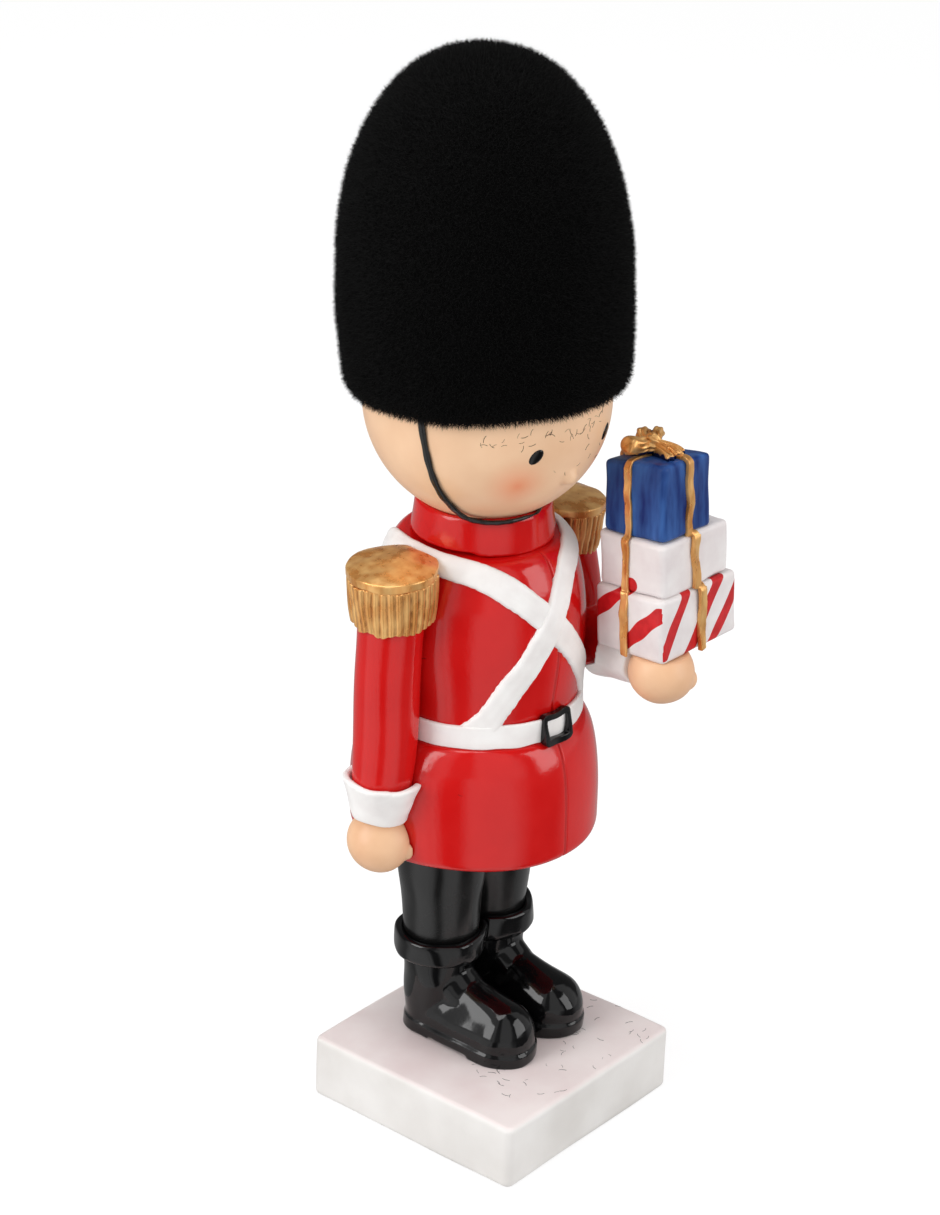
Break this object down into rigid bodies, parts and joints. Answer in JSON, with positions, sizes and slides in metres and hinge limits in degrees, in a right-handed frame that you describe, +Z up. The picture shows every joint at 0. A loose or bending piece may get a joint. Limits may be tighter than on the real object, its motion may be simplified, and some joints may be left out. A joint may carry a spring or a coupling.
{
  "type": "toy soldier figurine",
  "caption": "Standing soldier figurine in a flocked bearskin hat and belted coat, carrying a stack of ribboned gift boxes on one hand, on a square plinth.",
  "frame": {"origin": "middle of the plinth's underside", "axes": "+Z up through the hat, -Y the way the figure faces, -X towards the figure's right hand"},
  "size_m": [0.0626, 0.063, 0.1972],
  "materials": {
    "white": "satin painted resin",
    "black_gloss": "gloss painted resin",
    "trousers": "satin painted resin",
    "red": "gloss painted resin",
    "straps": "satin painted resin",
    "skin": "matte painted resin",
    "gold": "satin antique gold paint",
    "hat": "matte resin",
    "flock": "flocked",
    "gift_white": "satin painted resin",
    "gift_blue": "satin painted resin",
    "steel": "plain",
    "peg": "bare resin"
  },
  "bodies": {
    "root": {"plinth": "white", "right_sole": "black_gloss", "left_sole": "black_gloss", "right_boot": "black_gloss", "left_boot": "black_gloss", "right_boot_band": "black_gloss", "left_boot_band": "black_gloss", "right_leg": "trousers", "left_leg": "trousers", "right_leg_pin": "steel", "left_leg_pin": "steel", "coat": "red", "collar": "red", "crossbelt_under": "straps", "crossbelt_over": "straps", "waist_belt": "straps", "buckle": "black_gloss", "right_sleeve": "red", "left_sleeve": "red", "right_arm_peg": "peg", "left_arm_peg": "peg", "right_cuff": "straps", "left_cuff": "straps", "right_hand": "skin", "left_hand": "skin", "right_epaulette": "gold", "left_epaulette": "gold", "right_fringe": "gold", "left_fringe": "gold", "neck_peg": "peg", "head": "skin", "nose": "skin", "right_eye": "black_gloss", "left_eye": "black_gloss", "chin_strap": "black_gloss", "hat_core": "hat", "hat_flock": "flock", "gift_pin": "steel", "gift_bottom": "gift_white", "gift_middle": "gift_white", "gift_upper": "gift_blue", "ribbon_across": "gold", "ribbon_along": "gold", "bow_side_loop": "gold", "bow_back_loop": "gold", "bow_knot": "gold", "bow_tails": "gold"}
  },
  "joints": []
}
